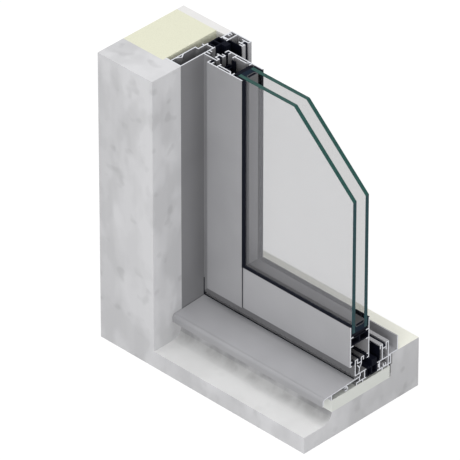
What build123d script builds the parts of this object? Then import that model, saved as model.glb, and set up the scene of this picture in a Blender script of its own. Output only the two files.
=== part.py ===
"""Cut corner of a sliding window in a masonry wall: pier, sill block, rail frame, sash and double glazing.

The width runs along X, with the jamb at -X and the cut end at +X. The depth runs along Y, from the
weather face at -Y to the room at +Y. Z is up, and the origin is the middle of the underside.
Depths are measured from the weather face of the wall. Heights of the frame and sash sections are
measured from the frame's floor into the opening, so one section serves the sill and the jamb.
"""
from build123d import *

import math
import os

# Overall cut block
WIDTH = 361.0
DEPTH = 207.0
HEIGHT = 433.0

# Pier beside the opening
PIER_WIDTH = 96.0
LEAF = 45.0
LEAF_NIB = 5.0
PIER_INSULATION = 94.5
PLASTER = 12.0
CAVITY = 26.5

# Sill block under the opening
LEDGE_DEPTH = 33.0
LEDGE_HEIGHT = 24.5
LEDGE_RUN = 16.5
TROUGH_HEIGHT = 39.0
COVE_SAG = 4.4
BASE_INSULATION_TOP = 57.0
STRIP = 2.2
STRIP_FOOT_GAP = 6.0

# Frame profiles
GAUGE = 1.6
BRACE = 1.4
FRAME_SETBACK = 90.5
RAIL_INSET = 8.3
RAIL_PITCH = 45.0
RAIL_HEIGHT = 23.0
HEAD_HALF_WIDTH = 3.4
HEAD_FLOOR = 16.0
HEAD_ARM = 8.0
HEAD_PRONG = 4.0
HOOK_LIP = 4.5
YOKE_TOP = 12.8
YOKE_HEIGHT = 7.6
STEM_LEAN = 1.5
BREAK_WIDTH = 20.0
SILL_CHAMBER = 13.9
JAMB_CHAMBER = 11.4
JAMB_OUTER_CHAMBER = 13.7
CHAMBER_OFFSET = 0.4
CHAMBER_JOG = 1.4
CHAMBER_JOG_DEPTH = 5.6
CHAMBER_BACK = 2.9
INNER_CHAMBER_FRONT = 4.3
BREAK_KEY = 2.9
BREAK_KEY_TOP = 3.7
BREAK_KEY_FOOT = 9.1
LEG = 3.5
SECOND_LEG_OFFSET = 6.4
JAMB_TEETH = (4.3, 5.6)
JAMB_TEETH_OFFSETS = (2.2, -2.5)
SILL_TAIL = 4.2
PORT_RADIUS = 3.0
PORT_SLOT = 2.4
BREAK_WALL = 2.0
BREAK_STEP_WIDTH = 10.0
BREAK_STEP_HEIGHT = 8.0
RAIL_FOOT_WIDTH = 4.6
RAIL_FOOT_HEIGHT = 2.0
RAIL_NIB = 1.7
RAIL_NIB_DROP = 0.6
JAMB_BAR_HEIGHT = 4.2
TRACK_COVER = 1.2
TRACK_COVER_HEIGHT = 21.6

# Sash and glazing
SASH_DEPTH = 34.6
SASH_GAP = 16.0
SASH_FACE = 61.0
BREAK_LIP = 46.7
GLAZING_LIP = 60.2
LIP_REACH = 4.4
BRUSH_GROOVE = 5.8
BRUSH_LIP = 2.4
BRUSH_HEIGHT = 8.0
BRUSH_CLEARANCE = 0.3
STILE_PROUD = 1.6
STILE_BRUSH_LIP = 4.6
STILE_CHAMBER = 4.2
STILE_LIP = 32.2
STILE_CHAMBER_TOP = 52.0
STILE_PRONG = 58.5
STILE_BREAK_REACH = 10.0
STILE_BREAK_FOOT = 27.0
STILE_BREAK_TOP = 34.5
STILE_BREAK_RECESS = 11.5
PANE = 6.0
PANE_GAP = 16.0
GLASS_EDGE = 65.0
SEALANT = 8.0
SPACER = 6.0
SPACER_WALL = 1.2
SPACER_CHAMFER = 2.0
SEAL_LIP = 0.6
SEAL_RISE = 2.4
SEAL_TIP = 0.5
SETTING_BLOCK_LENGTH = 60.0
GLASS_CLIP_WIDTH = 102.6
GLASS_CLIP_HEIGHT = 95.0

# Roller under the bottom rail
WHEEL_RADIUS = 8.0
WHEEL_WIDTH = 4.2
WHEEL_GROOVE = 1.2
WHEEL_CLEARANCE = 0.3
AXLE_RADIUS = 2.0
AXLE_CLEARANCE = 0.05
CHEEK = 1.5
CARRIAGE_LENGTH = 60.0
CARRIAGE_END_GAP = 8.0

# Flashing over the ledge
FLASHING_NOSE = 33.0
FLASHING_LIP = 6.0
NOSE_RADIUS = 3.5
FLASHING_FRONT_HEIGHT = 8.4
FLASHING_FALL = 3.4
FLASHING_END_GAP = 0.8
FLASHING_RIB_DEPTH = 49.0
FLASHING_PORT_DEPTH = 75.3
FLASHING_PORT_HEIGHT = 61.5
FLASHING_PORT_RADIUS = 3.5

# Reveal liner beside the frame
LINER_DEPTH_BEHIND_WALL = 19.0
LINER_HOOK_START = 59.0
LINER_HOOK_PITCH = 7.0
LINER_HOOK_DEPTH = 4.5

# Angle along the room side of the frame
ANGLE_LEG = 15.7
ANGLE_HEIGHT = 22.2

# Derived places
X_CUT = WIDTH / 2
X_LEFT = -WIDTH / 2
X_REVEAL = X_LEFT + PIER_WIDTH
X_CAVITY = X_REVEAL - CAVITY
Y_FRONT = -DEPTH / 2
HALF_GAUGE = GAUGE / 2
OUTER_RAIL = FRAME_SETBACK + RAIL_INSET
INNER_RAIL = OUTER_RAIL + RAIL_PITCH
FRAME_BACK = INNER_RAIL + RAIL_INSET
FRAME_MIDDLE = (OUTER_RAIL + INNER_RAIL) / 2
BREAK_FRONT = FRAME_MIDDLE - BREAK_WIDTH / 2
BREAK_BACK = FRAME_MIDDLE + BREAK_WIDTH / 2
SILL_UNDER = SILL_CHAMBER + LEG
FLOOR = BASE_INSULATION_TOP + SILL_UNDER
HEAD_TOP = RAIL_HEIGHT - HALF_GAUGE
COVER_FACE = INNER_RAIL - HEAD_ARM
STRIP_FRONT = FRAME_BACK + SILL_TAIL
UPSTAND = STRIP_FRONT + STRIP
STRIP_FOLD = FLOOR - SILL_CHAMBER - STRIP
TROUGH_FRONT = LEDGE_DEPTH + LEDGE_RUN
SASH_TOP = SASH_GAP + SASH_FACE
X_STILE_EDGE = X_REVEAL + SASH_TOP
HALF_SASH = SASH_DEPTH / 2
HALF_STILE = HALF_SASH + STILE_PROUD
SASH_CLEAR = HALF_SASH - GAUGE
HALF_UNIT = PANE + PANE_GAP / 2
X_GLASS = X_REVEAL + GLASS_EDGE
Z_GLASS = FLOOR + GLASS_EDGE


def along_x(section, start, end):
    """Run a section drawn as (depth, height above the underside) from one X to another."""
    plane = Plane(origin=(start, Y_FRONT, 0), x_dir=(0, 1, 0), z_dir=(1, 0, 0))
    return extrude(plane * section, amount=end - start)


def along_sill(section, start, end):
    """Run a frame or sash section along X, its height measured from the frame's floor."""
    return along_x(Pos(0, FLOOR) * section, start, end)


def down_jamb(section, top, bottom):
    """Run a frame or sash section down the jamb, its height measured from the reveal along +X."""
    plane = Plane(origin=(X_REVEAL, Y_FRONT, top), x_dir=(0, 1, 0), z_dir=(0, 0, -1))
    return extrude(plane * section, amount=top - bottom)


def block(x0, x1, depth0, depth1, z0, z1):
    """A plain cut block between two values of X, of depth and of Z."""
    size = (x1 - x0, depth1 - depth0, z1 - z0)
    corner = (x0, Y_FRONT + depth0, z0)
    return Pos(*corner) * Box(*size, align=(Align.MIN, Align.MIN, Align.MIN))


def web(start, end, gauge=GAUGE):
    """One straight wall of a profile round its middle line, square ended unless it slants."""
    run = Vector(*end) - Vector(*start)
    middle = (Vector(*start) + Vector(*end)) / 2
    place = Pos(middle.X, middle.Y) * Rot(0, 0, math.degrees(math.atan2(run.Y, run.X)))
    if run.X * run.Y:
        return place * SlotCenterToCenter(run.length, gauge)
    return place * Rectangle(run.length + gauge, gauge)


def rect(d0, d1, h0, h1):
    """A solid rectangle of a section between two depths and two heights."""
    return Pos(d0, h0) * Rectangle(d1 - d0, h1 - h0, align=(Align.MIN, Align.MIN))


def fuse(pieces):
    """Join the walls of one section."""
    section = pieces[0]
    for piece in pieces[1:]:
        section = section + piece
    return section


def walls(*runs, gauge=GAUGE):
    """Fused walls of one section, each run a list of points along the middle of its wall."""
    return fuse([web(start, end, gauge) for run in runs for start, end in zip(run, run[1:])])


def screw_port(depth, height, radius, slot):
    """Round port for a self-tapping screw, cut open by a slot."""
    return Pos(depth, height) * (Circle(radius) - Circle(radius - GAUGE) - slot)


def rail_head(rail, side):
    """Hooked trough that holds a rail; side -1 has its face wall to the weather, +1 to the room."""
    face = rail + side * (RAIL_INSET - HALF_GAUGE)
    near = rail + side * HEAD_HALF_WIDTH
    far = rail - side * HEAD_HALF_WIDTH
    tip = rail - side * (HEAD_ARM - HALF_GAUGE)
    return walls(
        [(face, -HALF_GAUGE), (face, HEAD_TOP), (near, HEAD_TOP), (near, HEAD_FLOOR), (far, HEAD_FLOOR)],
        [(far, YOKE_TOP), (far, HEAD_TOP), (tip, HEAD_TOP), (tip, HEAD_TOP - HOOK_LIP)],
    )


def outer_section(chamber):
    """Weather half of the frame: face, head, floor, and the flange and legs behind the floor."""
    flange = HALF_GAUGE - chamber
    foot = HALF_GAUGE - SILL_UNDER
    first_leg = FRAME_SETBACK + LEG
    second_leg = OUTER_RAIL + SECOND_LEG_OFFSET
    back_wall = BREAK_FRONT - CHAMBER_BACK
    end = BREAK_FRONT - HALF_GAUGE
    return rail_head(OUTER_RAIL, -1) + walls(
        [(FRAME_SETBACK + HALF_GAUGE, -HALF_GAUGE), (end, -HALF_GAUGE)],
        [(back_wall, -HALF_GAUGE), (back_wall, flange)],
        [(first_leg, flange), (end, flange)],
        [(first_leg, flange), (first_leg, foot)],
        [(second_leg, flange), (second_leg, foot)],
    )


def sill_outer_section():
    """Weather half of the sill: a yoke on a leaning stem holds the head, over a stepped chamber wall."""
    fork = OUTER_RAIL + CHAMBER_OFFSET
    wall = fork + CHAMBER_JOG
    jog = -CHAMBER_JOG_DEPTH
    flange = HALF_GAUGE - SILL_CHAMBER
    yoke = walls(
        [(OUTER_RAIL + HEAD_HALF_WIDTH, YOKE_TOP), (fork, YOKE_HEIGHT), (fork - STEM_LEAN, -HALF_GAUGE)],
        [(OUTER_RAIL - HEAD_HALF_WIDTH, YOKE_TOP), (fork, YOKE_HEIGHT)],
        gauge=BRACE,
    )
    chamber_wall = walls([(wall, -HALF_GAUGE), (wall, jog), (fork, jog), (fork, flange)])
    return outer_section(SILL_CHAMBER) + yoke + chamber_wall


def jamb_outer_section():
    """Weather half of the jamb, with two teeth on its floor."""
    teeth = [
        [(OUTER_RAIL + offset, -HALF_GAUGE), (OUTER_RAIL + offset, height - HALF_GAUGE)]
        for offset, height in zip(JAMB_TEETH_OFFSETS, JAMB_TEETH)
    ]
    return outer_section(JAMB_OUTER_CHAMBER) + walls(*teeth)


def inner_section(chamber):
    """Room half of the frame: face, head, and a chamber with a screw port and a key for the break."""
    flange = HALF_GAUGE - chamber
    back = FRAME_BACK - HALF_GAUGE
    near = INNER_RAIL + HEAD_HALF_WIDTH
    front = BREAK_BACK + HALF_GAUGE
    wall = BREAK_BACK + INNER_CHAMBER_FRONT
    slot = rect(-PORT_SLOT / 2, PORT_SLOT / 2, 0, PORT_RADIUS)
    port = screw_port(INNER_RAIL + HALF_GAUGE, flange + PORT_RADIUS, PORT_RADIUS, slot)
    key = rect(wall - BREAK_KEY, wall, -BREAK_KEY_FOOT, -BREAK_KEY_TOP)
    return rail_head(INNER_RAIL, 1) + port + key + walls(
        [(near, HEAD_FLOOR), (near, HEAD_FLOOR - HEAD_PRONG)],
        [(front, -HALF_GAUGE), (back, -HALF_GAUGE)],
        [(front, flange), (back, flange)],
        [(wall, -HALF_GAUGE), (wall, flange)],
        [(back, -HALF_GAUGE), (back, flange)],
    )


def sill_inner_section():
    """Room half of the sill, its head carried down to the floor, with a tail chamber and legs behind."""
    flange = HALF_GAUGE - SILL_CHAMBER
    foot = HALF_GAUGE - SILL_UNDER
    back = FRAME_BACK - HALF_GAUGE
    tail = STRIP_FRONT - HALF_GAUGE
    far = INNER_RAIL - HEAD_HALF_WIDTH
    return inner_section(SILL_CHAMBER) + walls(
        [(far, YOKE_TOP), (far, -HALF_GAUGE)],
        [(back, -HALF_GAUGE), (tail, -HALF_GAUGE), (tail, flange), (back, flange), (back, foot)],
        [(far, flange), (far, foot)],
    )


def break_section(chamber):
    """Hollow plastic bar that joins the two halves of the frame, with its raised step."""
    outline = rect(BREAK_FRONT, BREAK_BACK, -chamber, 0)
    step = rect(BREAK_BACK - BREAK_STEP_WIDTH, BREAK_BACK - BREAK_WALL / 2, -BREAK_WALL, BREAK_STEP_HEIGHT)
    hollow_width = (BREAK_WIDTH - 3 * BREAK_WALL) / 2
    hollows = [
        rect(start, start + hollow_width, BREAK_WALL - chamber, -BREAK_WALL)
        for start in (BREAK_FRONT + BREAK_WALL, FRAME_MIDDLE + BREAK_WALL / 2)
    ]
    return outline + step - hollows[0] - hollows[1]


def cover_section():
    """Black cover of the track between the rails: a foot beside the break's step and an upright plate."""
    half = TRACK_COVER / 2
    start = BREAK_BACK - BREAK_WALL / 2 + half
    plate = COVER_FACE - half
    return walls([(start, half), (plate, half), (plate, TRACK_COVER_HEIGHT - half)], gauge=TRACK_COVER)


def mitred(member, keep):
    """Cut a member on the 45 degree plane through the corner of the reveal and the floor."""
    plane = Plane(origin=(X_REVEAL, 0, FLOOR), z_dir=(1, 0, -1))
    return split(member, bisect_by=plane, keep=keep)


def frame_profiles():
    """Both halves and the thermal break of the sill and of the jamb, mitred where they meet."""
    sills = {
        "sill_outer_profile": sill_outer_section(),
        "sill_inner_profile": sill_inner_section(),
        "sill_thermal_break": break_section(SILL_CHAMBER),
        "sill_track_cover": cover_section(),
    }
    jambs = {
        "jamb_outer_profile": jamb_outer_section(),
        "jamb_inner_profile": inner_section(JAMB_CHAMBER),
        "jamb_thermal_break": break_section(SILL_CHAMBER),
        "jamb_track_cover": cover_section(),
    }
    start = X_REVEAL - SILL_UNDER
    nodes = {name: mitred(along_sill(section, start, X_CUT), Keep.TOP) for name, section in sills.items()}
    for name, section in jambs.items():
        nodes[name] = mitred(down_jamb(section, HEIGHT, BASE_INSULATION_TOP), Keep.BOTTOM)
    return nodes


def rail_section(rail):
    """Slim running rail whose foot is held in the trough of a rail head."""
    seat = HEAD_FLOOR + HALF_GAUGE
    foot = rect(rail - RAIL_FOOT_WIDTH / 2, rail + RAIL_FOOT_WIDTH / 2, seat, seat + RAIL_FOOT_HEIGHT)
    nib = rect(rail - RAIL_NIB / 2, rail + RAIL_NIB / 2, seat, RAIL_HEIGHT - RAIL_NIB_DROP)
    return foot + nib


def bar_section(rail):
    """Bar that fills the trough of a jamb head up to just below its hooks."""
    seat = HEAD_FLOOR + HALF_GAUGE
    return rect(rail - RAIL_FOOT_WIDTH / 2, rail + RAIL_FOOT_WIDTH / 2, seat, seat + JAMB_BAR_HEIGHT)


def running_rails():
    """Rails in both tracks of the sill and the bars in the matching heads of the jamb."""
    nodes = {}
    for track, rail in (("outer", OUTER_RAIL), ("inner", INNER_RAIL)):
        sill = along_sill(rail_section(rail), X_REVEAL, X_CUT)
        jamb = down_jamb(bar_section(rail), HEIGHT, FLOOR)
        nodes[f"sill_{track}_rail"] = mitred(sill, Keep.TOP)
        nodes[f"jamb_{track}_rail"] = mitred(jamb, Keep.BOTTOM)
    return nodes


def shell(side, wall, *lips):
    """Outer wall of a sash shell with lips, given as (height, reach), that stand in from it."""
    runs = [[(wall, SASH_GAP + HALF_GAUGE), (wall, SASH_TOP - HALF_GAUGE)]]
    runs += [[(wall, height), (wall - side * reach, height)] for height, reach in lips]
    return walls(*runs)


def rail_half(side):
    """One aluminium shell of the bottom rail; side -1 is the weather shell, +1 the room shell."""
    wall = OUTER_RAIL + side * (HALF_SASH - HALF_GAUGE)
    foot = SASH_GAP + HALF_GAUGE
    return shell(
        side,
        wall,
        (foot, BRUSH_LIP),
        (foot + BRUSH_GROOVE, BRUSH_LIP),
        (BREAK_LIP, LIP_REACH),
        (GLAZING_LIP, LIP_REACH),
    )


def stile_half(side):
    """Double-walled aluminium shell of the stile, which stands proud of the rail by one gauge."""
    wall = OUTER_RAIL + side * (HALF_STILE - HALF_GAUGE)
    inner = wall - side * STILE_CHAMBER
    foot = SASH_GAP + HALF_GAUGE
    to_break = HALF_STILE - GAUGE - STILE_BREAK_REACH
    outer = shell(
        side,
        wall,
        (foot, STILE_BRUSH_LIP),
        (foot + BRUSH_GROOVE, STILE_BRUSH_LIP),
        (STILE_LIP, to_break),
        (STILE_PRONG, LIP_REACH),
    )
    slope = walls([(inner, STILE_CHAMBER_TOP), (wall, STILE_CHAMBER_TOP + STILE_CHAMBER)], gauge=BRACE)
    return outer + walls([(inner, STILE_LIP), (inner, STILE_CHAMBER_TOP)]) + slope


def hollow_bar(reach, low, high):
    """Section of a plastic bar with two hollows, centred on the outer rail."""
    width = (2 * reach - 3 * BREAK_WALL) / 2
    bar = rect(OUTER_RAIL - reach, OUTER_RAIL + reach, low, high)
    for start in (OUTER_RAIL - reach + BREAK_WALL, OUTER_RAIL + BREAK_WALL / 2):
        bar = bar - rect(start, start + width, low + BREAK_WALL, high - BREAK_WALL)
    return bar


def sash_members():
    """The stile over the full height, its bar ending below the cut top, and the rail that butts on it."""
    bottom = FLOOR + SASH_GAP
    bar_low = BREAK_LIP + HALF_GAUGE
    rail_bar = hollow_bar(SASH_CLEAR, bar_low, GLAZING_LIP - HALF_GAUGE)
    stile_bar = hollow_bar(STILE_BREAK_REACH, STILE_BREAK_FOOT, STILE_BREAK_TOP)
    return {
        "sash_stile_outer": down_jamb(stile_half(-1), HEIGHT, bottom),
        "sash_stile_inner": down_jamb(stile_half(1), HEIGHT, bottom),
        "sash_stile_break": down_jamb(stile_bar, HEIGHT - STILE_BREAK_RECESS, FLOOR + bar_low),
        "sash_rail_outer": along_sill(rail_half(-1), X_STILE_EDGE, X_CUT),
        "sash_rail_inner": along_sill(rail_half(1), X_STILE_EDGE, X_CUT),
        "sash_rail_break": along_sill(rail_bar, X_STILE_EDGE, X_CUT),
    }


def brush_section(side, half_depth, reach, height):
    """Brush whose foot is held in the groove of a shell and whose round pile reaches for the rail head."""
    back = OUTER_RAIL + side * (half_depth - GAUGE)
    lip = back - side * reach
    middle = SASH_GAP + HALF_GAUGE + BRUSH_GROOVE / 2
    half_foot = (BRUSH_GROOVE - GAUGE) / 2
    tip = FRAME_SETBACK if side < 0 else OUTER_RAIL + HEAD_ARM
    tip += side * BRUSH_CLEARANCE
    foot = rect(*sorted((back, lip)), middle - half_foot, middle + half_foot)
    half_pile = rect(*sorted((lip, tip)), middle - height / 2, middle + height / 2)
    pile = Pos(lip, middle) * Ellipse(abs(tip - lip), height / 2) & half_pile
    return foot + pile


def sash_brushes():
    """Brushes of the bottom rail and of the stile, on both faces of the sash."""
    nodes = {}
    for name, side in (("outer", -1), ("inner", 1)):
        rail = brush_section(side, HALF_SASH, BRUSH_LIP, BRUSH_HEIGHT)
        stile = brush_section(side, HALF_STILE, STILE_BRUSH_LIP, BRUSH_GROOVE - GAUGE)
        nodes[f"sash_rail_{name}_brush"] = along_sill(rail, X_STILE_EDGE, X_CUT)
        nodes[f"sash_stile_{name}_brush"] = down_jamb(stile, HEIGHT, FLOOR + SASH_GAP)
    return nodes


def pane_outline():
    """Glass outline on X and Z, with the upper corner cut off on a slope."""
    return Polyline(
        (X_GLASS, Z_GLASS),
        (X_CUT, Z_GLASS),
        (X_CUT, HEIGHT - GLASS_CLIP_HEIGHT),
        (X_CUT - GLASS_CLIP_WIDTH, HEIGHT),
        (X_GLASS, HEIGHT),
        close=True,
    )


def pane(depth):
    """One sheet of glass whose weather face lies at the given depth."""
    face = make_face(pane_outline())
    plane = Plane(origin=(0, Y_FRONT + depth, 0), x_dir=(1, 0, 0), z_dir=(0, -1, 0))
    return extrude(plane * face, amount=-PANE)


def seal_section(side, half_depth):
    """Wedge seal between a shell and the glass, its lip over the shell's edge and up the glass."""
    wall = OUTER_RAIL + side * (half_depth - GAUGE)
    face = OUTER_RAIL + side * half_depth
    glass = OUTER_RAIL + side * HALF_UNIT
    return make_face(Polyline(
        (wall, GLASS_EDGE),
        (glass, GLASS_EDGE),
        (glass, SASH_TOP + SEAL_RISE),
        (glass + side * SEAL_TIP, SASH_TOP + SEAL_RISE),
        (face, SASH_TOP + SEAL_LIP),
        (face, SASH_TOP),
        (wall, SASH_TOP),
        close=True,
    ))


def edge_members(name, bottom_section, side_section):
    """Sections of the glass edge run along the bottom and up the stile side, mitred at the corner."""
    bottom = mitred(along_sill(bottom_section, X_REVEAL, X_CUT), Keep.TOP)
    side = mitred(down_jamb(side_section, HEIGHT, FLOOR), Keep.BOTTOM)
    return {f"{name}_bottom": bottom, f"{name}_side": side}


def glazing():
    """Two panes, the hollow spacer and sealant between them, the seals and the setting blocks."""
    half_gap = PANE_GAP / 2
    front = OUTER_RAIL - half_gap
    back = OUTER_RAIL + half_gap
    spacer_foot = GLASS_EDGE + SEALANT
    bar = make_face(Polyline(
        (front, spacer_foot + SPACER),
        (front, spacer_foot + SPACER_CHAMFER),
        (front + SPACER_CHAMFER, spacer_foot),
        (back - SPACER_CHAMFER, spacer_foot),
        (back, spacer_foot + SPACER_CHAMFER),
        (back, spacer_foot + SPACER),
        close=True,
    ))
    sealant = rect(front, back, GLASS_EDGE, spacer_foot + SPACER_CHAMFER) - bar
    spacer = bar - offset(bar, -SPACER_WALL)
    nodes = {
        "glass_pane_outer": pane(OUTER_RAIL - HALF_UNIT),
        "glass_pane_inner": pane(back),
    }
    nodes.update(edge_members("edge_sealant", sealant, sealant))
    nodes.update(edge_members("spacer", spacer, spacer))
    for name, side in (("outer", -1), ("inner", 1)):
        sections = (seal_section(side, HALF_SASH), seal_section(side, HALF_STILE))
        nodes.update(edge_members(f"glazing_seal_{name}", *sections))
    support = rect(OUTER_RAIL - HALF_UNIT, OUTER_RAIL + HALF_UNIT, GLAZING_LIP + HALF_GAUGE, GLASS_EDGE)
    side_support = rect(OUTER_RAIL - HALF_UNIT, OUTER_RAIL + HALF_UNIT, STILE_PRONG + HALF_GAUGE, GLASS_EDGE)
    first = along_sill(support, X_CUT - SETTING_BLOCK_LENGTH, X_CUT)
    second = along_sill(support, X_STILE_EDGE, X_STILE_EDGE + SETTING_BLOCK_LENGTH)
    nodes["setting_blocks"] = Compound(children=[first, second])
    nodes["side_packer"] = down_jamb(side_support, HEIGHT, HEIGHT - SETTING_BLOCK_LENGTH)
    return nodes


def roller():
    """Grooved wheel on its axle between two cheeks, hung under the bar of the bottom rail."""
    centre_x = X_STILE_EDGE + CARRIAGE_END_GAP + CARRIAGE_LENGTH / 2
    centre_z = FLOOR + RAIL_HEIGHT - RAIL_NIB_DROP + WHEEL_RADIUS - WHEEL_GROOVE
    top_z = FLOOR + BREAK_LIP + HALF_GAUGE
    half_width = WHEEL_WIDTH / 2 + WHEEL_CLEARANCE
    place = Pos(centre_x, Y_FRONT + OUTER_RAIL, centre_z)
    spin = place * Rot(90, 0, 0)
    wheel = Cylinder(WHEEL_RADIUS, WHEEL_WIDTH) - Cylinder(AXLE_RADIUS + AXLE_CLEARANCE, WHEEL_WIDTH)
    groove_width = RAIL_NIB + 2 * WHEEL_CLEARANCE
    groove = Cylinder(WHEEL_RADIUS + WHEEL_GROOVE, groove_width)
    groove -= Cylinder(WHEEL_RADIUS - WHEEL_GROOVE, groove_width)
    axle = Cylinder(AXLE_RADIUS, 2 * (half_width + CHEEK))
    carriage = spin * axle
    x0 = centre_x - CARRIAGE_LENGTH / 2
    x1 = centre_x + CARRIAGE_LENGTH / 2
    for side in (-1, 1):
        near, far = sorted((side * half_width, side * (half_width + CHEEK)))
        carriage += block(x0, x1, OUTER_RAIL + near, OUTER_RAIL + far, centre_z - WHEEL_RADIUS / 2, top_z)
    carriage += block(x0, x1, OUTER_RAIL - half_width, OUTER_RAIL + half_width, top_z - CHEEK, top_z)
    return {"roller_wheel": spin * (wheel - groove), "roller_carriage": carriage}


def flashing():
    """Sloping cover over the ledge with a round nose, a drip lip, a rib and a screw port below."""
    front = BASE_INSULATION_TOP + FLASHING_FRONT_HEIGHT - HALF_GAUGE
    back = front + FLASHING_FALL
    lip = FLASHING_NOSE + HALF_GAUGE
    start = lip + NOSE_RADIUS
    end = OUTER_RAIL + CHAMBER_OFFSET - HALF_GAUGE
    nose = CenterArc((start, front - NOSE_RADIUS), NOSE_RADIUS, 90, 90)

    def top_at(depth):
        """Height of the sloping sheet at a depth."""
        return front + (back - front) * (depth - start) / (end - start)

    rib_foot = BASE_INSULATION_TOP + HALF_GAUGE
    port_top = FLASHING_PORT_HEIGHT + FLASHING_PORT_RADIUS - HALF_GAUGE
    section = trace(nose, GAUGE) + walls(
        [(lip, front - NOSE_RADIUS - FLASHING_LIP), (lip, front - NOSE_RADIUS)],
        [(start, front), (end, back)],
        [(FLASHING_RIB_DEPTH, rib_foot), (FLASHING_RIB_DEPTH, top_at(FLASHING_RIB_DEPTH))],
        [(FLASHING_PORT_DEPTH, port_top), (FLASHING_PORT_DEPTH, top_at(FLASHING_PORT_DEPTH))],
    )
    slot = rect(-FLASHING_PORT_RADIUS, 0, -PORT_SLOT / 2, PORT_SLOT / 2)
    section += screw_port(FLASHING_PORT_DEPTH, FLASHING_PORT_HEIGHT, FLASHING_PORT_RADIUS, slot)
    section -= rect(end, end + GAUGE, front, back + GAUGE)
    return {"sill_flashing": along_x(section, X_REVEAL + FLASHING_END_GAP, X_CUT)}


def reveal_liner():
    """Folded liner of the reveal, from the leaf's nib to the frame, with a zigzag hook at its back."""
    front = LEAF + LEAF_NIB + HALF_GAUGE
    back_wall = HALF_GAUGE - LINER_DEPTH_BEHIND_WALL
    ridge = back_wall + LINER_HOOK_DEPTH
    hook = [LINER_HOOK_START + turn * LINER_HOOK_PITCH for turn in range(3)]
    section = walls(
        [(front, HALF_GAUGE - CAVITY), (front, -HALF_GAUGE), (FRAME_SETBACK - HALF_GAUGE, -HALF_GAUGE)],
        [(front, back_wall), (FRAME_SETBACK + LEG, back_wall)],
    )
    section += walls([(hook[0], back_wall), (hook[1], ridge), (hook[2], back_wall)], gauge=BRACE)
    return {"reveal_liner": down_jamb(section, HEIGHT, BASE_INSULATION_TOP)}


def room_angle():
    """Angle that closes the floor against the room side of the frame, and the folded strip below it."""
    low = HALF_GAUGE
    corner = FRAME_BACK + ANGLE_LEG
    angle = walls([(FRAME_BACK + HALF_GAUGE, low), (corner, low), (corner, ANGLE_HEIGHT - HALF_GAUGE)])
    half = STRIP / 2
    fold = STRIP_FOLD + half
    foot = TROUGH_HEIGHT + STRIP_FOOT_GAP
    strip = walls(
        [(UPSTAND - half, FLOOR - half), (UPSTAND - half, fold)],
        [(UPSTAND - half, fold), (STRIP_FRONT - half, fold), (STRIP_FRONT - half, foot + half)],
        gauge=STRIP,
    )
    return {
        "room_angle": along_sill(angle, X_REVEAL, X_CUT),
        "sill_anchor_strip": along_x(strip, X_REVEAL, X_CUT),
    }


def base_section():
    """Sill block: ledge, hollow cove, trough for the insulation and stepped upstand on the room side."""
    cove = SagittaArc((LEDGE_DEPTH, LEDGE_HEIGHT), (TROUGH_FRONT, TROUGH_HEIGHT), -COVE_SAG)
    rest = Polyline(
        (TROUGH_FRONT, TROUGH_HEIGHT),
        (STRIP_FRONT, TROUGH_HEIGHT),
        (STRIP_FRONT, STRIP_FOLD),
        (UPSTAND, STRIP_FOLD),
        (UPSTAND, FLOOR),
        (DEPTH, FLOOR),
        (DEPTH, 0),
        (0, 0),
        (0, LEDGE_HEIGHT),
        (LEDGE_DEPTH, LEDGE_HEIGHT),
    )
    return make_face([cove, rest])


def masonry():
    """Leaf, insulation and plaster of the pier, and the sill block with its insulation."""
    nib_back = LEAF + LEAF_NIB
    insulation_back = LEAF + PIER_INSULATION
    plaster_back = insulation_back + PLASTER
    leaf = block(X_LEFT, X_REVEAL, 0, LEAF, 0, HEIGHT)
    leaf += block(X_CAVITY, X_REVEAL, LEAF, nib_back, 0, HEIGHT)
    leaf_place = block(X_CAVITY, X_REVEAL, 0, nib_back, 0, FLOOR)
    sill = along_x(base_section(), X_CAVITY, X_CUT) - leaf_place
    sill += block(X_LEFT, X_CAVITY, LEAF, DEPTH, 0, FLOOR)
    slab_back = STRIP_FRONT - STRIP
    slab = block(X_CAVITY, X_CUT, TROUGH_FRONT, slab_back, TROUGH_HEIGHT, BASE_INSULATION_TOP) - leaf_place
    return {
        "pier_outer_leaf": leaf,
        "pier_insulation": block(X_LEFT, X_CAVITY, LEAF, insulation_back, FLOOR, HEIGHT),
        "pier_inner_plaster": block(
            X_LEFT, X_REVEAL - JAMB_CHAMBER, insulation_back, plaster_back, FLOOR, HEIGHT
        ),
        "sill_block": sill,
        "sill_insulation": slab,
    }


def build():
    """All nodes of the corner by name."""
    nodes = {}
    for group in (
        masonry(),
        frame_profiles(),
        running_rails(),
        flashing(),
        reveal_liner(),
        room_angle(),
        sash_members(),
        sash_brushes(),
        glazing(),
        roller(),
    ):
        nodes.update(group)
    return nodes


os.makedirs("parts", exist_ok=True)
for node, shape in build().items():
    export_step(shape, f"parts/{node}.step")
    print(f"{node:24s} {shape.volume / 1000:10.2f} cm3")
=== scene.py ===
"""Looks of a cut sliding window corner: masonry, cut aluminium profiles, black plastic, rubber and glass."""
import math

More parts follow.
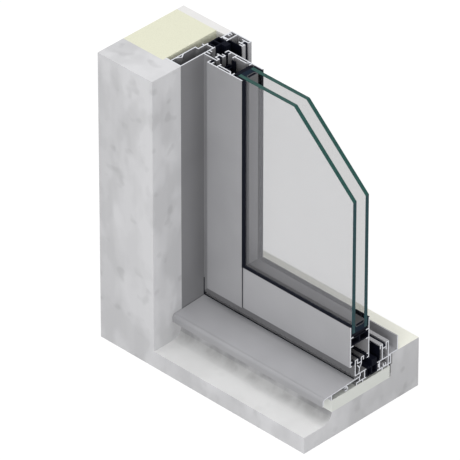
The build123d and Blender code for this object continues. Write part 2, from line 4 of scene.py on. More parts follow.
import bpy
from bpy.props import FloatProperty, FloatVectorProperty, PointerProperty
from mathutils import Euler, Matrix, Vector


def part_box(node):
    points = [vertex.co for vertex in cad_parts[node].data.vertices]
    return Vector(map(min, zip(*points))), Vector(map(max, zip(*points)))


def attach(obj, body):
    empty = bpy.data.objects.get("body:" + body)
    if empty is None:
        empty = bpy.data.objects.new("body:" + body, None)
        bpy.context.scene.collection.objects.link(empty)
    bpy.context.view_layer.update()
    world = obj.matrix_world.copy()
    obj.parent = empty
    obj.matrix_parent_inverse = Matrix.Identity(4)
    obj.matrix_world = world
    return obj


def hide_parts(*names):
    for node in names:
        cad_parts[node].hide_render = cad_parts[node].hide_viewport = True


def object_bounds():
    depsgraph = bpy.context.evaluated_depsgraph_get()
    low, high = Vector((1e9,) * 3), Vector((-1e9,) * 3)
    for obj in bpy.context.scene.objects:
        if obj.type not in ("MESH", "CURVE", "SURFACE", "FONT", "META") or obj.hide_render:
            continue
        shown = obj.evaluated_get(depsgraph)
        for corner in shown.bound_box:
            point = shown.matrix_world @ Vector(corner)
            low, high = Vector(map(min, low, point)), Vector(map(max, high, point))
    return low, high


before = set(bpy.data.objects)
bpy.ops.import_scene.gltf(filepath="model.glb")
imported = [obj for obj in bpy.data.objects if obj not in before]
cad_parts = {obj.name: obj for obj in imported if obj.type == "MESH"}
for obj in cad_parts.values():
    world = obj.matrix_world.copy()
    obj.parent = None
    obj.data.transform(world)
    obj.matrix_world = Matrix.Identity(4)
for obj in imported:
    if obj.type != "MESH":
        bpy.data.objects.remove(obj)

bl_info = {
    "name": "Sliding Window Corner",
    "version": (1, 0, 0),
    "blender": (4, 5, 0),
    "location": "View3D > Sidebar > Window Corner",
    "description": "Dresses a cut corner of a sliding window: masonry, profiles, seals and glass",
    "category": "Object",
}

MM = 0.001
BODY = "root"
CAD_LOW, CAD_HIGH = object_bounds()
CUT_X = CAD_HIGH.x
CUT_Z = CAD_HIGH.z
CUT_SKIN = 0.05 * MM

# How far a face's normal has to lie along an axis to count as looking that way.
CUT_FACING = 0.9
LEVEL_FACING = 0.5
EDGE_FACING = 0.3
PANE_FACING = 0.99

# Roughness of each finish. Where a pattern varies it, the finish has a range.
CONCRETE_ROUGHNESS = 0.85
CONCRETE_ROUGHNESS_RANGE = (0.78, 0.92)
FOAM_ROUGHNESS = 0.9
PLASTER_ROUGHNESS = 0.8
METAL_ROUGHNESS = 0.42
METAL_ROUGHNESS_RANGE = (METAL_ROUGHNESS - 0.05, METAL_ROUGHNESS + 0.06)
GALVANISED_ROUGHNESS = 0.45
PLATED_ROUGHNESS = 0.35
INSERT_ROUGHNESS = 0.7
GLASS_ROUGHNESS = 0.06
GLASS_ROUGHNESS_RANGE = (0.03, 0.09)
GLASS_EDGE_ROUGHNESS = 0.35

# Parts of a pattern's value that are stretched to its whole range.
SOFT_RANGE = (0.35, 0.65)
WIDE_RANGE = (0.3, 0.7)
SEAM_RANGE = (0.0, 0.08)

# Darkest and lightest tone of each finish, beside its colour.
CONCRETE_TONES = (0.7, 1.15)
FOAM_TONES = (0.96, 1.01)
PLASTER_TONES = (0.96, 1.0)
METAL_TONES = (0.97, 1.03)
PLASTIC_TONES = (0.85, 1.2)
ZINC_TONES = (0.85, 1.1)
GLASS_TONES = (0.97, 1.03)
GLASS_EDGE_TONES = (0.75, 1.25)
GLASS_LIT_TOP_TONES = (0.8, 1.2)

# Layers of the concrete's mottling: the part of the noise that counts, and the tones that it adds.
CLOUDY = (0.45, 0.55, -0.06, 0.045)
PATCHY = (0.46, 0.55, -0.03, 0.02)
STREAKY = (0.42, 0.58, -0.02, 0.02)
BLOTTED = (0.63, 0.72, 0.0, -0.11)
# Mottling of the painted shade in the cove: the part of the noise that counts and the share of the shade it
# keeps.
COVE_SHADE_MOTTLE = (0.4, 0.6, 0.6, 1.0)
CLOUD_STRETCH = (1, 1, 0.6)
RUN_STRETCH = (1, 1, 0.1)
# Share of the painted light on the sill block's level faces.
LEDGE_LIGHT_SHARE = 0.6
# Painted light on the foam's side faces, against the shade in the channel beside them.
FOAM_SIDE_LIGHT = 1.2

# Sizes of the patterns that aren't settings, and depths of relief.
DRAWN_LINE = 0.4 * MM
DRAWN_STRETCH = 0.01
METAL_CLOUD = 60 * MM
PLASTIC_GRAIN = 0.8 * MM
SPANGLE = 4 * MM
GLASS_HAZE = 90 * MM
EDGE_STREAK = 2.5 * MM
CONCRETE_RELIEF = 0.12 * MM
FOAM_RELIEF = 0.1 * MM
PLASTER_RELIEF = 0.05 * MM
METAL_RELIEF = 0.01 * MM
PLASTIC_RELIEF = 0.03 * MM

# How metallic the metals are, how much the dark finishes shine, and what each pane hides.
METAL_SHARE = 0.2
ZINC_SHARE = 0.7
BLACK_SHEEN = 0.03
EDGE_SHEEN = 0.15
GLASS_IOR = 1.5
OUTER_COVER = 0.132
INNER_COVER = 0.24
BLACK = (0.0, 0.0, 0.0)

# Where a Mix node keeps its colours, among sockets that share their names.
MIX_COLOURS = (6, 7)
MIX_RESULT = 2

# Painted shade on the flashing's nose: it darkens between these distances from its front.
NOSE_DARK = 1.5 * MM
NOSE_CLEAR = 6.5 * MM
NOSE_TONE = 0.74

# Aluminium: finish, tone beside the plain metal, the axis it is drawn along and the nodes that have it. The
# tones are painted light and shade: lit and shaded copies of one anodised metal, darker where a part stands
# in shade (the track face under the sash, the liner, the jamb, the stile) and lighter on the flashing.
METALWORK = (
    ("satin_metal_lengthways", 0.9, "X", ("sill_inner_profile", "sash_rail_outer", "sash_rail_inner")),
    ("satin_metal_upright", 1.0, "Z", ("jamb_inner_profile",)),
    # Painted shade: the track face under the sash's overhang.
    ("weathered_metal", 0.39, "X", ("sill_outer_profile",)),
    ("stile_metal", 0.82, "Z", ("sash_stile_outer", "sash_stile_inner")),
    ("jamb_metal", 0.64, "Z", ("jamb_outer_profile",)),
    ("flashing_metal", 1.14, "X", ("sill_flashing",)),
    ("liner_metal", 0.63, "Z", ("reveal_liner",)),
    ("angle_metal", 1.0, "X", ("room_angle",)),
)
# The spacer tones are painted shade: the spacers are darkened for the shade between the panes, the bottom one
# most.
SPACERS = (("spacer_bottom", 0.12, "X"), ("spacer_side", 0.38, "Z"))

# Display greys of the two zinc finishes.
GALVANISED_GREY = 120
PLATED_GREY = 175

# Plastic and rubber: finish, the colour it starts from, tone beside it, roughness and the nodes that have it.
PLASTICS = (
    ("glass_filled_plastic", "plastic", 1.0, 0.55, (
        "sill_thermal_break", "jamb_thermal_break", "sash_stile_break", "sash_rail_break",
        "setting_blocks", "side_packer",
    )),
    ("rail_plastic", "plastic", 1.6, 0.5, (
        "sill_outer_rail", "sill_inner_rail", "jamb_outer_rail", "jamb_inner_rail", "roller_wheel",
    )),
    ("cover_plastic", "plastic", 0.8, 0.5, ("sill_track_cover", "jamb_track_cover")),
    ("seal_rubber", "rubber", 1.0, 0.65, (
        "glazing_seal_outer_bottom", "glazing_seal_outer_side",
        "glazing_seal_inner_bottom", "glazing_seal_inner_side",
    )),
    ("brush_pile", "rubber", 0.8, 0.95, (
        "sash_rail_outer_brush", "sash_rail_inner_brush", "sash_stile_outer_brush", "sash_stile_inner_brush",
    )),
    ("edge_sealant", "sealant", 1.0, 0.6, ("edge_sealant_bottom", "edge_sealant_side")),
)

ARRIS_ANGLE = math.radians(30)
BAR_ROUNDING = 0.25

KEY_DIRECTION = Vector((0.0, -0.14, 1.0))
FILL_DIRECTION = Vector((0.26, -0.35, 0.12))
LAMP_DISTANCE = 3.0
LAMP_SIZE = 1.8
FLOOR_SIZE = 12
FLOOR_TONE = (0.6, 0.6, 0.6, 1)
FLOOR_SHADOW = (0.2, 0.2, 0.2, 1)
WHITE = (1, 1, 1, 1)
SENSOR_WIDTH = 36.0
CLIP_REACH = 3


def colour(name, default, description):
    """A colour that a user may change, given in display values of 0 to 255."""
    return FloatVectorProperty(
        name=name,
        description=description,
        default=scene_linear(*default),
        size=3,
        min=0.0,
        max=1.0,
        subtype="COLOR",
    )


def length(name, millimetres, description):
    """A length that a user may change, given in millimetres and held in metres."""
    return FloatProperty(
        name=name,
        description=description,
        default=millimetres * MM,
        min=0.0,
        subtype="DISTANCE",
        unit="LENGTH",
    )


def angle(name, degrees, description):
    """An angle that a user may change, given in degrees."""
    return FloatProperty(name=name, description=description, default=math.radians(degrees), subtype="ANGLE")


def level(name, default, description):
    """A plain number that a user may change."""
    return FloatProperty(name=name, description=description, default=default, min=0.0)


def scene_linear(*parts):
    """Display values of 0 to 255 as parts of a scene-linear colour, by the sRGB curve."""
    shares = (part / 255 for part in parts)
    return tuple(share / 12.92 if share <= 0.04045 else ((share + 0.055) / 1.055) ** 2.4 for share in shares)


class CornerFinish(bpy.types.PropertyGroup):
    """Colours of the corner's finishes."""

    concrete: colour("Concrete", (206, 206, 208), "Cast concrete of the leaf and the sill block")
    # Painted shade: a dark concrete tone that stands in for the shadow in the cove under the flashing's nose.
    painted_cove_shade: colour("Damp concrete", (90, 90, 91), "Sheltered concrete in the cove under the flashing")
    # Painted light: a paler tone for the faces of the sill block that look up.
    painted_ledge_light: colour("Ledge", (232, 232, 231), "Paler skin on the level faces of the sill block")
    # Partly the render's own cream, partly painted light: the cream is lifted near white against the shadow
    # of the panes.
    cap: colour("Upstand cap", (246, 246, 235), "Cream render on top of the sill block's upstand")
    foam: colour("Foam", (225, 225, 203), "Insulation of the pier")
    slab: colour("Foam slab", (206, 208, 203), "Paler insulation under the frame")
    plaster: colour("Plaster", (230, 229, 228), "Plaster on the room side")
    metal: colour("Anodised metal", (170, 170, 173), "Satin skin of the aluminium profiles")
    cut_metal: colour("Cut metal", (222, 224, 230), "Bright sawn ends of the aluminium profiles")
    cut_spacer: colour("Cut spacer", (34, 38, 46), "Dull sawn ends of the glass unit's spacer")
    plastic: colour("Black plastic", (15, 17, 27), "Thermal breaks, rails and packers")
    rubber: colour("Rubber", (24, 26, 34), "Glazing seals")
    sealant: colour("Sealant", (26, 36, 48), "Sealant round the edge of the glass unit")
    glass_edge: colour("Glass edge", (18, 60, 65), "Ground edges of the panes")
    # Painted light: a lighter, greener tone for the glass edges that look up.
    glass_edge_lit_top: colour("Level glass edge", (38, 76, 71), "Greener tone of the glass edges that look up")
    outer_pane: colour("Outer pane", (212, 212, 217), "Pale sheen of the weather pane")
    inner_pane: colour("Inner pane", (38, 40, 44), "Grey tone of the room pane")


class CornerSizes(bpy.types.PropertyGroup):
    """Sizes of the corner's small detail."""

    cloud: length("Concrete cloud", 70, "Size of the pale and dark clouds in the concrete")
    blot: length("Concrete blot", 22, "Size of the dark blots in the concrete")
    pore: length("Concrete pore", 1.6, "Size of the pores in the concrete")
    bead: length("Foam bead", 3.2, "Size of the beads in the foam")
    # The painted shade behind the flashing's nose deepens over this depth.
    cove_fade: length("Cove fade", 26, "Depth over which the damp behind the flashing's nose deepens")
    arris: length("Glass arris", 0.5, "Width of the ground arris along the pane edges")
    # Painted shade: black bars stand in for the shadow lines in the joints, of this width and corner height.
    shadow_line_width: length("Bead width", 0.9, "Width of the sealant beads in the joints")
    corner_bead: length("Corner bead", 26, "Height of the bead in the corner of the frame")
    rib_width: length("Rib width", 6, "Reach of the rib beside the stile's bar")
    rib_wall: length("Rib wall", 1.2, "Thickness of the rib")
    rib_setback: length("Rib setback", 1.6, "Distance of the rib from the inner shell")
    filling_inset: length("Filling inset", 1.3, "Distance of the filling from the spacer's outside")
    filling_recess: length("Filling recess", 0.2, "Depth of the filling behind the sawn end of the spacer")


class StageSettings(bpy.types.PropertyGroup):
    """Camera, floor and lights."""

    azimuth: angle("Azimuth", 44.63, "Camera angle round the corner")
    elevation: angle("Elevation", 34.56, "Camera angle above the floor")
    distance: FloatProperty(
        name="Distance",
        description="Camera distance from its target",
        default=9.5,
        min=0.1,
        subtype="DISTANCE",
    )
    lens: FloatProperty(
        name="Lens",
        description="Focal length",
        default=595.66,
        min=1.0,
        subtype="DISTANCE_CAMERA",
    )
    target: FloatVectorProperty(
        name="Target",
        description="Point in the middle of the picture",
        default=(0.00337, -0.05545, 0.23028),
        size=3,
        subtype="XYZ",
    )
    sky: level("Sky", 0.53, "Strength of the even light from all round")
    key: level("Key", 0.455, "Brightness that the soft light from above gives")
    fill: level("Fill", 0.452, "Brightness that the low soft light on the cut end gives")
    floor_white: level("Floor white", 0.86, "Share of the floor's white that shadows leave alone")


def new_material(name, base, roughness, metallic=0.0):
    """A material with a Principled shader; returns the material, its tree and the shader."""
    made = bpy.data.materials.new(name)
    made.use_nodes = True
    tree = made.node_tree
    shader = tree.nodes["Principled BSDF"]
    shader.inputs["Base Color"].default_value = (*base, 1)
    shader.inputs["Roughness"].default_value = roughness
    shader.inputs["Metallic"].default_value = metallic
    made.diffuse_color = (*base, 1)
    return made, tree, shader


def add(tree, kind, **settings):
    """A node of a tree with its settings; names that start with a capital are sockets."""
    node = tree.nodes.new(kind)
    for name, value in settings.items():
        if name[0].isupper():
            node.inputs[name.replace("_", " ")].default_value = value
        else:
            setattr(node, name, value)
    return node


def place(tree, scale=(1, 1, 1)):
    """Object coordinates of a piece, stretched by a scale; returns the vector socket."""
    source = add(tree, "ShaderNodeTexCoord")
    mapping = add(tree, "ShaderNodeMapping", Scale=scale)
    tree.links.new(source.outputs["Object"], mapping.inputs["Vector"])
    return mapping.outputs["Vector"]


def noise(tree, vector, size, detail, rough=0.5):
    """Noise whose features are about the given size; returns its factor socket."""
    node = add(tree, "ShaderNodeTexNoise", Scale=1 / size, Detail=detail, Roughness=rough)
    tree.links.new(vector, node.inputs["Vector"])
    return node.outputs["Fac"]


def spread(tree, value, low, high, out_low=0.0, out_high=1.0):
    """Maps a range of a value to another range, held at its ends; returns a socket."""
    node = add(tree, "ShaderNodeMapRange", From_Min=low, From_Max=high, To_Min=out_low, To_Max=out_high)
    tree.links.new(value, node.inputs["Value"])
    return node.outputs["Result"]


def math_node(tree, operation, first, second):
    """A math node on two values, each a number or a socket; returns a socket."""
    node = add(tree, "ShaderNodeMath", operation=operation)
    for socket, value in zip(node.inputs, (first, second)):
        if isinstance(value, (int, float)):
            socket.default_value = value
        else:
            tree.links.new(value, socket)
    return node.outputs["Value"]


def blend_colours(tree, factor, first, second):
    """Mixes two colours, each a tuple or a socket, by a factor socket; returns a socket."""
    node = add(tree, "ShaderNodeMix", data_type="RGBA")
    tree.links.new(factor, node.inputs["Factor"])
    for index, value in zip(MIX_COLOURS, (first, second)):
        socket = node.inputs[index]
        if isinstance(value, tuple):
            socket.default_value = (*value, 1)
        else:
            tree.links.new(value, socket)
    return node.outputs[MIX_RESULT]


def tint(base, factor):
    """A colour made lighter or darker by a factor."""
    return tuple(min(1.0, part * factor) for part in base)


def tones(tree, factor, base, limits):
    """A colour that goes from its darkest to its lightest tone by a factor socket; returns a socket."""
    darkest, lightest = limits
    return blend_colours(tree, factor, tint(base, darkest), tint(base, lightest))


def bump(tree, shader, height, depth):
    """Relief of a depth in metres from a height socket."""
    node = add(tree, "ShaderNodeBump", Strength=1.0, Distance=depth)
    tree.links.new(height, node.inputs["Height"])
    tree.links.new(node.outputs["Normal"], shader.inputs["Normal"])


def axis_of(tree, axis):
    """One axis of a piece's object coordinates; returns a socket."""
    source = add(tree, "ShaderNodeTexCoord")
    split = add(tree, "ShaderNodeSeparateXYZ")
    tree.links.new(source.outputs["Object"], split.inputs["Vector"])
    return split.outputs[axis]


def facing_of(tree, axis):
    """How far a face looks along an axis; returns a socket."""
    geometry = add(tree, "ShaderNodeNewGeometry")
    split = add(tree, "ShaderNodeSeparateXYZ")
    tree.links.new(geometry.outputs["True Normal"], split.inputs["Vector"])
    return split.outputs[axis]


def cut_mask(tree):
    """1 on the sawn faces at the cut end and at the top of the sample, 0 elsewhere; returns a socket."""
    masks = []
    for axis, limit in (("X", CUT_X), ("Z", CUT_Z)):
        near = math_node(tree, "GREATER_THAN", axis_of(tree, axis), limit - CUT_SKIN)
        turned = math_node(tree, "GREATER_THAN", facing_of(tree, axis), CUT_FACING)
        masks.append(math_node(tree, "MULTIPLY", near, turned))
    return math_node(tree, "MAXIMUM", *masks)


def concrete(name, finish, sizes, capped):
    """Cast concrete with soft clouds, dark blots and fine grain, and the sill block's painted light and shade
    if asked.
    """
    base = tuple(finish.concrete)
    made, tree, shader = new_material(name, base, CONCRETE_ROUGHNESS)
    vector = place(tree)
    tall = place(tree, CLOUD_STRETCH)
    runny = place(tree, RUN_STRETCH)
    patches = noise(tree, tall, sizes.cloud / 2, detail=3.0, rough=0.5)
    layers = (
        (noise(tree, tall, sizes.cloud, detail=3.0, rough=0.45), CLOUDY),
        (patches, PATCHY),
        (noise(tree, runny, sizes.cloud / 3, detail=1.0), STREAKY),
        (noise(tree, vector, sizes.blot, detail=1.5, rough=0.4), BLOTTED),
    )
    total = 1.0
    for layer, limits in layers:
        total = math_node(tree, "ADD", spread(tree, layer, *limits), total)
    skin = tones(tree, spread(tree, total, *CONCRETE_TONES), base, CONCRETE_TONES)
    if capped:
        skin = sill_tones(tree, finish, sizes, skin)
    tree.links.new(skin, shader.inputs["Base Color"])
    roughness = spread(tree, patches, *WIDE_RANGE, *CONCRETE_ROUGHNESS_RANGE)
    tree.links.new(roughness, shader.inputs["Roughness"])
    bump(tree, shader, noise(tree, vector, sizes.pore, detail=3.0, rough=0.6), CONCRETE_RELIEF)
    return made


def sill_tones(tree, finish, sizes, skin):
    """Painted light on the sill block's level faces, a cream upstand cap lifted by painted light, and painted
    shade in the cove behind the flashing's nose, over a concrete skin; returns a socket.
    """
    depth = axis_of(tree, "Y")
    flat = math_node(tree, "GREATER_THAN", facing_of(tree, "Z"), LEVEL_FACING)
    # Painted light: the level faces of the sill block are made paler.
    skin = blend_colours(tree, math_node(tree, "MULTIPLY", flat, LEDGE_LIGHT_SHARE), skin, tuple(finish.painted_ledge_light))
    upstand = math_node(tree, "GREATER_THAN", depth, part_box("room_angle")[0].y)
    # Cream cap on the upstand's level faces, its cream lifted near white as painted light.
    skin = blend_colours(tree, math_node(tree, "MULTIPLY", upstand, flat), skin, tuple(finish.cap))
    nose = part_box("sill_flashing")[0].y
    # Painted shade: a darkening that deepens behind the flashing's nose, mottled, on the uncut outdoor faces.
    painted_cove_shade = spread(tree, depth, nose, nose + sizes.cove_fade)
    outdoors = math_node(tree, "LESS_THAN", depth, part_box("pier_outer_leaf")[1].y)
    uncut = math_node(tree, "LESS_THAN", facing_of(tree, "X"), CUT_FACING)
    cove_shade_mottle = spread(tree, noise(tree, place(tree), sizes.blot, detail=3.0, rough=0.5), *COVE_SHADE_MOTTLE)
    for mask in (outdoors, uncut, cove_shade_mottle):
        painted_cove_shade = math_node(tree, "MULTIPLY", painted_cove_shade, mask)
    return blend_colours(tree, painted_cove_shade, skin, tuple(finish.painted_cove_shade))


def foam(name, base, sizes):
    """Rigid foam with pressed beads, with painted light on its sides."""
    base = tuple(base)
    made, tree, shader = new_material(name, base, FOAM_ROUGHNESS)
    cells = add(tree, "ShaderNodeTexVoronoi", Scale=1 / sizes.bead, feature="DISTANCE_TO_EDGE")
    tree.links.new(place(tree), cells.inputs["Vector"])
    seams = spread(tree, cells.outputs["Distance"], *SEAM_RANGE)
    # Painted light: the side faces are made paler.
    side = math_node(tree, "LESS_THAN", facing_of(tree, "Z"), LEVEL_FACING)
    skin = blend_colours(tree, side, tones(tree, seams, base, FOAM_TONES), tint(base, FOAM_SIDE_LIGHT))
    tree.links.new(skin, shader.inputs["Base Color"])
    bump(tree, shader, seams, FOAM_RELIEF)
    return made


def plaster(finish, sizes):
    """Smooth white plaster with trowel clouds."""
    base = tuple(finish.plaster)
    made, tree, shader = new_material("smooth_plaster", base, PLASTER_ROUGHNESS)
    vector = place(tree)
    clouds = spread(tree, noise(tree, vector, sizes.cloud / 2, detail=4.0), *SOFT_RANGE)
    tree.links.new(tones(tree, clouds, base, PLASTER_TONES), shader.inputs["Base Color"])
    bump(tree, shader, noise(tree, vector, sizes.pore / 2, detail=3.0), PLASTER_RELIEF)
    return made


def anodised(name, finish, tone, along, cut, nose=False):
    """Satin aluminium drawn along one axis, with sawn ends of their own colour and painted shade on the nose
    if asked.
    """
    # The tone darkens or lightens the metal as painted shade or painted light for the part.
    base = tint(tuple(finish.metal), tone)
    made, tree, shader = new_material(name, base, METAL_ROUGHNESS, METAL_SHARE)
    stretch = tuple(DRAWN_STRETCH if axis == along else 1.0 for axis in "XYZ")
    lines = noise(tree, place(tree, stretch), DRAWN_LINE, detail=3.0)
    soft = noise(tree, place(tree), METAL_CLOUD, detail=2.0)
    mask = cut_mask(tree)
    skin = tones(tree, spread(tree, soft, *SOFT_RANGE), base, METAL_TONES)
    if nose:
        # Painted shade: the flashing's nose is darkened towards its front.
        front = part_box("sill_flashing")[0].y
        nose_shade = spread(tree, axis_of(tree, "Y"), front + NOSE_DARK, front + NOSE_CLEAR, NOSE_TONE, 1.0)
        skin = blend_colours(tree, nose_shade, BLACK, skin)
    tree.links.new(blend_colours(tree, mask, skin, tuple(cut)), shader.inputs["Base Color"])
    tree.links.new(spread(tree, mask, 0.0, 1.0, METAL_SHARE, 0.0), shader.inputs["Metallic"])
    tree.links.new(spread(tree, lines, *WIDE_RANGE, *METAL_ROUGHNESS_RANGE), shader.inputs["Roughness"])
    bump(tree, shader, lines, METAL_RELIEF)
    return made


def black_plastic(name, base, roughness):
    """Glass-filled plastic or rubber with a fine grain."""
    base = tuple(base)
    made, tree, shader = new_material(name, base, roughness)
    shader.inputs["Specular IOR Level"].default_value = BLACK_SHEEN
    grain = noise(tree, place(tree), PLASTIC_GRAIN, detail=3.0)
    skin = tones(tree, spread(tree, grain, *SOFT_RANGE), base, PLASTIC_TONES)
    tree.links.new(skin, shader.inputs["Base Color"])
    bump(tree, shader, grain, PLASTIC_RELIEF)
    return made


def zinc(name, grey, roughness):
    """Dull zinc-coated steel with soft spangle, of a display grey."""
    base = scene_linear(grey, grey, grey)
    made, tree, shader = new_material(name, base, roughness, ZINC_SHARE)
    cells = add(tree, "ShaderNodeTexVoronoi", Scale=1 / SPANGLE)
    tree.links.new(place(tree), cells.inputs["Vector"])
    tree.links.new(tones(tree, cells.outputs["Distance"], base, ZINC_TONES), shader.inputs["Base Color"])
    return made


def clear_glass(name, base, cover):
    """Coated float glass seen through both its faces, each covering its share of what lies behind."""
    base = tuple(base)
    made, tree, shader = new_material(name, base, GLASS_ROUGHNESS)
    shader.inputs["Alpha"].default_value = cover
    shader.inputs["IOR"].default_value = GLASS_IOR
    haze = noise(tree, place(tree), GLASS_HAZE, detail=2.0)
    tree.links.new(spread(tree, haze, *WIDE_RANGE, *GLASS_ROUGHNESS_RANGE), shader.inputs["Roughness"])
    skin = tones(tree, spread(tree, haze, *WIDE_RANGE), base, GLASS_TONES)
    tree.links.new(skin, shader.inputs["Base Color"])
    return made


def glass_edge(finish):
    """Ground glass edge, dark teal with lighter streaks along it, and with painted light, lighter and
    greener, where it looks up.
    """
    base = tuple(finish.glass_edge)
    made, tree, shader = new_material("ground_glass_edge", base, GLASS_EDGE_ROUGHNESS)
    shader.inputs["Specular IOR Level"].default_value = EDGE_SHEEN
    streaks = spread(tree, noise(tree, place(tree), EDGE_STREAK, detail=3.0), *SOFT_RANGE)
    side = tones(tree, streaks, base, GLASS_EDGE_TONES)
    top = tones(tree, streaks, tuple(finish.glass_edge_lit_top), GLASS_LIT_TOP_TONES)
    # Painted light on the edges that look up.
    upward = math_node(tree, "GREATER_THAN", facing_of(tree, "Z"), EDGE_FACING)
    tree.links.new(blend_colours(tree, upward, side, top), shader.inputs["Base Color"])
    return made


def dress(node, made):
    """Gives a CAD node its finish."""
    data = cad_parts[node].data
    data.materials.clear()
    data.materials.append(made)


def clear_selection():
    """Leaves edit mode and selects nothing."""
    if bpy.context.object and bpy.context.object.mode != "OBJECT":
        bpy.ops.object.mode_set(mode="OBJECT")
    bpy.ops.object.select_all(action="DESELECT")


def add_block(name, low, high):
    """A plain block that fills a box, with its place in its mesh."""
    clear_selection()
    bpy.ops.mesh.primitive_cube_add(size=1, location=(low + high) / 2, scale=high - low)
    block = bpy.context.object
    block.name = block.data.name = name
    bpy.ops.object.transform_apply(location=True, rotation=False, scale=True)
    return block


def seat(piece, slot_name, *nodes):
    """Makes a finished piece ride on the corner and stand for its CAD nodes."""
    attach(piece, BODY)
    if nodes:
        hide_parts(*nodes)


def make_pane(node, clear, edge, arris):
    """A pane with ground arrises and teal edges, modelled over a CAD pane with its cut-off corner."""
    low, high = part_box(node)
    pane = add_block(node.replace("glass_pane", "pane"), low, high)
    points = [vertex.co.copy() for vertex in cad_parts[node].data.vertices]
    top_x = max(point.x for point in points if point.z > high.z - CUT_SKIN)
    side_z = max(point.z for point in points if point.x > high.x - CUT_SKIN)
    slope = Vector((high.z - side_z, 0, high.x - top_x))
    bpy.ops.object.mode_set(mode="EDIT")
    bpy.ops.mesh.select_all(action="SELECT")
    bpy.ops.mesh.bisect(plane_co=(top_x, 0, high.z), plane_no=slope, clear_outer=True, use_fill=True)
    bpy.ops.mesh.select_all(action="SELECT")
    bpy.ops.mesh.normals_make_consistent(inside=False)
    bpy.ops.object.mode_set(mode="OBJECT")
    bevel = pane.modifiers.new("arris", "BEVEL")
    bevel.width = arris
    bevel.segments = 1
    bevel.limit_method = "ANGLE"
    bevel.angle_limit = ARRIS_ANGLE
    bpy.ops.object.modifier_apply(modifier="arris")
    pane.data.materials.append(clear)
    pane.data.materials.append(edge)
    for face in pane.data.polygons:
        face.material_index = 0 if abs(face.normal.y) > PANE_FACING else 1
    seat(pane, "clear_glass", node)


def make_bar(name, low, high, material, slot_name):
    """A straight bar or bead that fills a box, with rounded edges."""
    bar = add_block(name, low, high)
    bevel = bar.modifiers.new("round", "BEVEL")
    bevel.width = min(high - low) * BAR_ROUNDING
    bevel.segments = 2
    bpy.ops.object.modifier_apply(modifier="round")
    bar.data.materials.append(material)
    seat(bar, slot_name)


class CORNER_OT_masonry(bpy.types.Operator):
    """Finish the concrete, the foam and the plaster"""

    bl_idname = "corner.masonry"
    bl_label = "Masonry"

    def execute(self, context):
        finish, sizes = context.scene.corner_finish, context.scene.corner_sizes
        dress("pier_outer_leaf", concrete("cast_concrete", finish, sizes, False))
        dress("sill_block", concrete("capped_concrete", finish, sizes, True))
        dress("pier_insulation", foam("rigid_foam", finish.foam, sizes))
        dress("sill_insulation", foam("pale_rigid_foam", finish.slab, sizes))
        dress("pier_inner_plaster", plaster(finish, sizes))
        return {"FINISHED"}


class CORNER_OT_metalwork(bpy.types.Operator):
    """Finish the aluminium profiles, the flashing, the liner, the angle, the spacers and the steel"""

    bl_idname = "corner.metalwork"
    bl_label = "Metalwork"

    def execute(self, context):
        finish = context.scene.corner_finish
        for name, tone, along, nodes in METALWORK:
            made = anodised(name, finish, tone, along, finish.cut_metal, nose="sill_flashing" in nodes)
            for node in nodes:
                dress(node, made)
        for node, tone, along in SPACERS:
            dress(node, anodised(f"mill_{node}", finish, tone, along, finish.cut_spacer))
        dress("sill_anchor_strip", zinc("galvanised_steel", GALVANISED_GREY, GALVANISED_ROUGHNESS))
        dress("roller_carriage", zinc("plated_steel", PLATED_GREY, PLATED_ROUGHNESS))
        return {"FINISHED"}


class CORNER_OT_plastics(bpy.types.Operator):
    """Finish the thermal breaks, rails, brushes, seals, packers and the roller"""

    bl_idname = "corner.plastics"
    bl_label = "Plastics and rubber"

    def execute(self, context):
        finish = context.scene.corner_finish
        for name, start, tone, roughness, nodes in PLASTICS:
            made = black_plastic(name, tint(tuple(getattr(finish, start)), tone), roughness)
            for node in nodes:
                dress(node, made)
        return {"FINISHED"}


class CORNER_OT_joints(bpy.types.Operator):
    """Model black bars as painted shade: shadow lines at the foot of the frame, in its corner and beside the
    stile
    """

    bl_idname = "corner.joints"
    bl_label = "Joints"

    def execute(self, context):
        finish, sizes = context.scene.corner_finish, context.scene.corner_sizes
        sealant = black_plastic("joint_sealant", finish.rubber, INSERT_ROUGHNESS)
        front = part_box("sill_outer_profile")[0].y
        flashing_low, flashing_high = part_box("sill_flashing")
        foot = flashing_high.z
        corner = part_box("reveal_liner")[1].x
        rail_low, rail_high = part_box("sash_rail_outer")
        bead = sizes.shadow_line_width
        # Black bars where only shadow lines fall: at the frame's foot on the flashing, in its corner and in
        # the gap beside the stile.
        joints = {
            "foot_bead": (
                Vector((flashing_low.x, front - bead, foot - bead / 4)),
                Vector((flashing_high.x - bead, front, foot + bead)),
            ),
            "corner_bead": (
                Vector((corner, front - bead, foot)),
                Vector((corner + bead, front, foot + sizes.corner_bead)),
            ),
            "stile_joint": (
                Vector((rail_low.x, rail_low.y - bead / 2, rail_low.z)),
                Vector((rail_low.x + bead, rail_low.y, rail_high.z)),
            ),
        }
        for name, (low, high) in joints.items():
            make_bar(name, low, high, sealant, "edge_sealant")
        return {"FINISHED"}


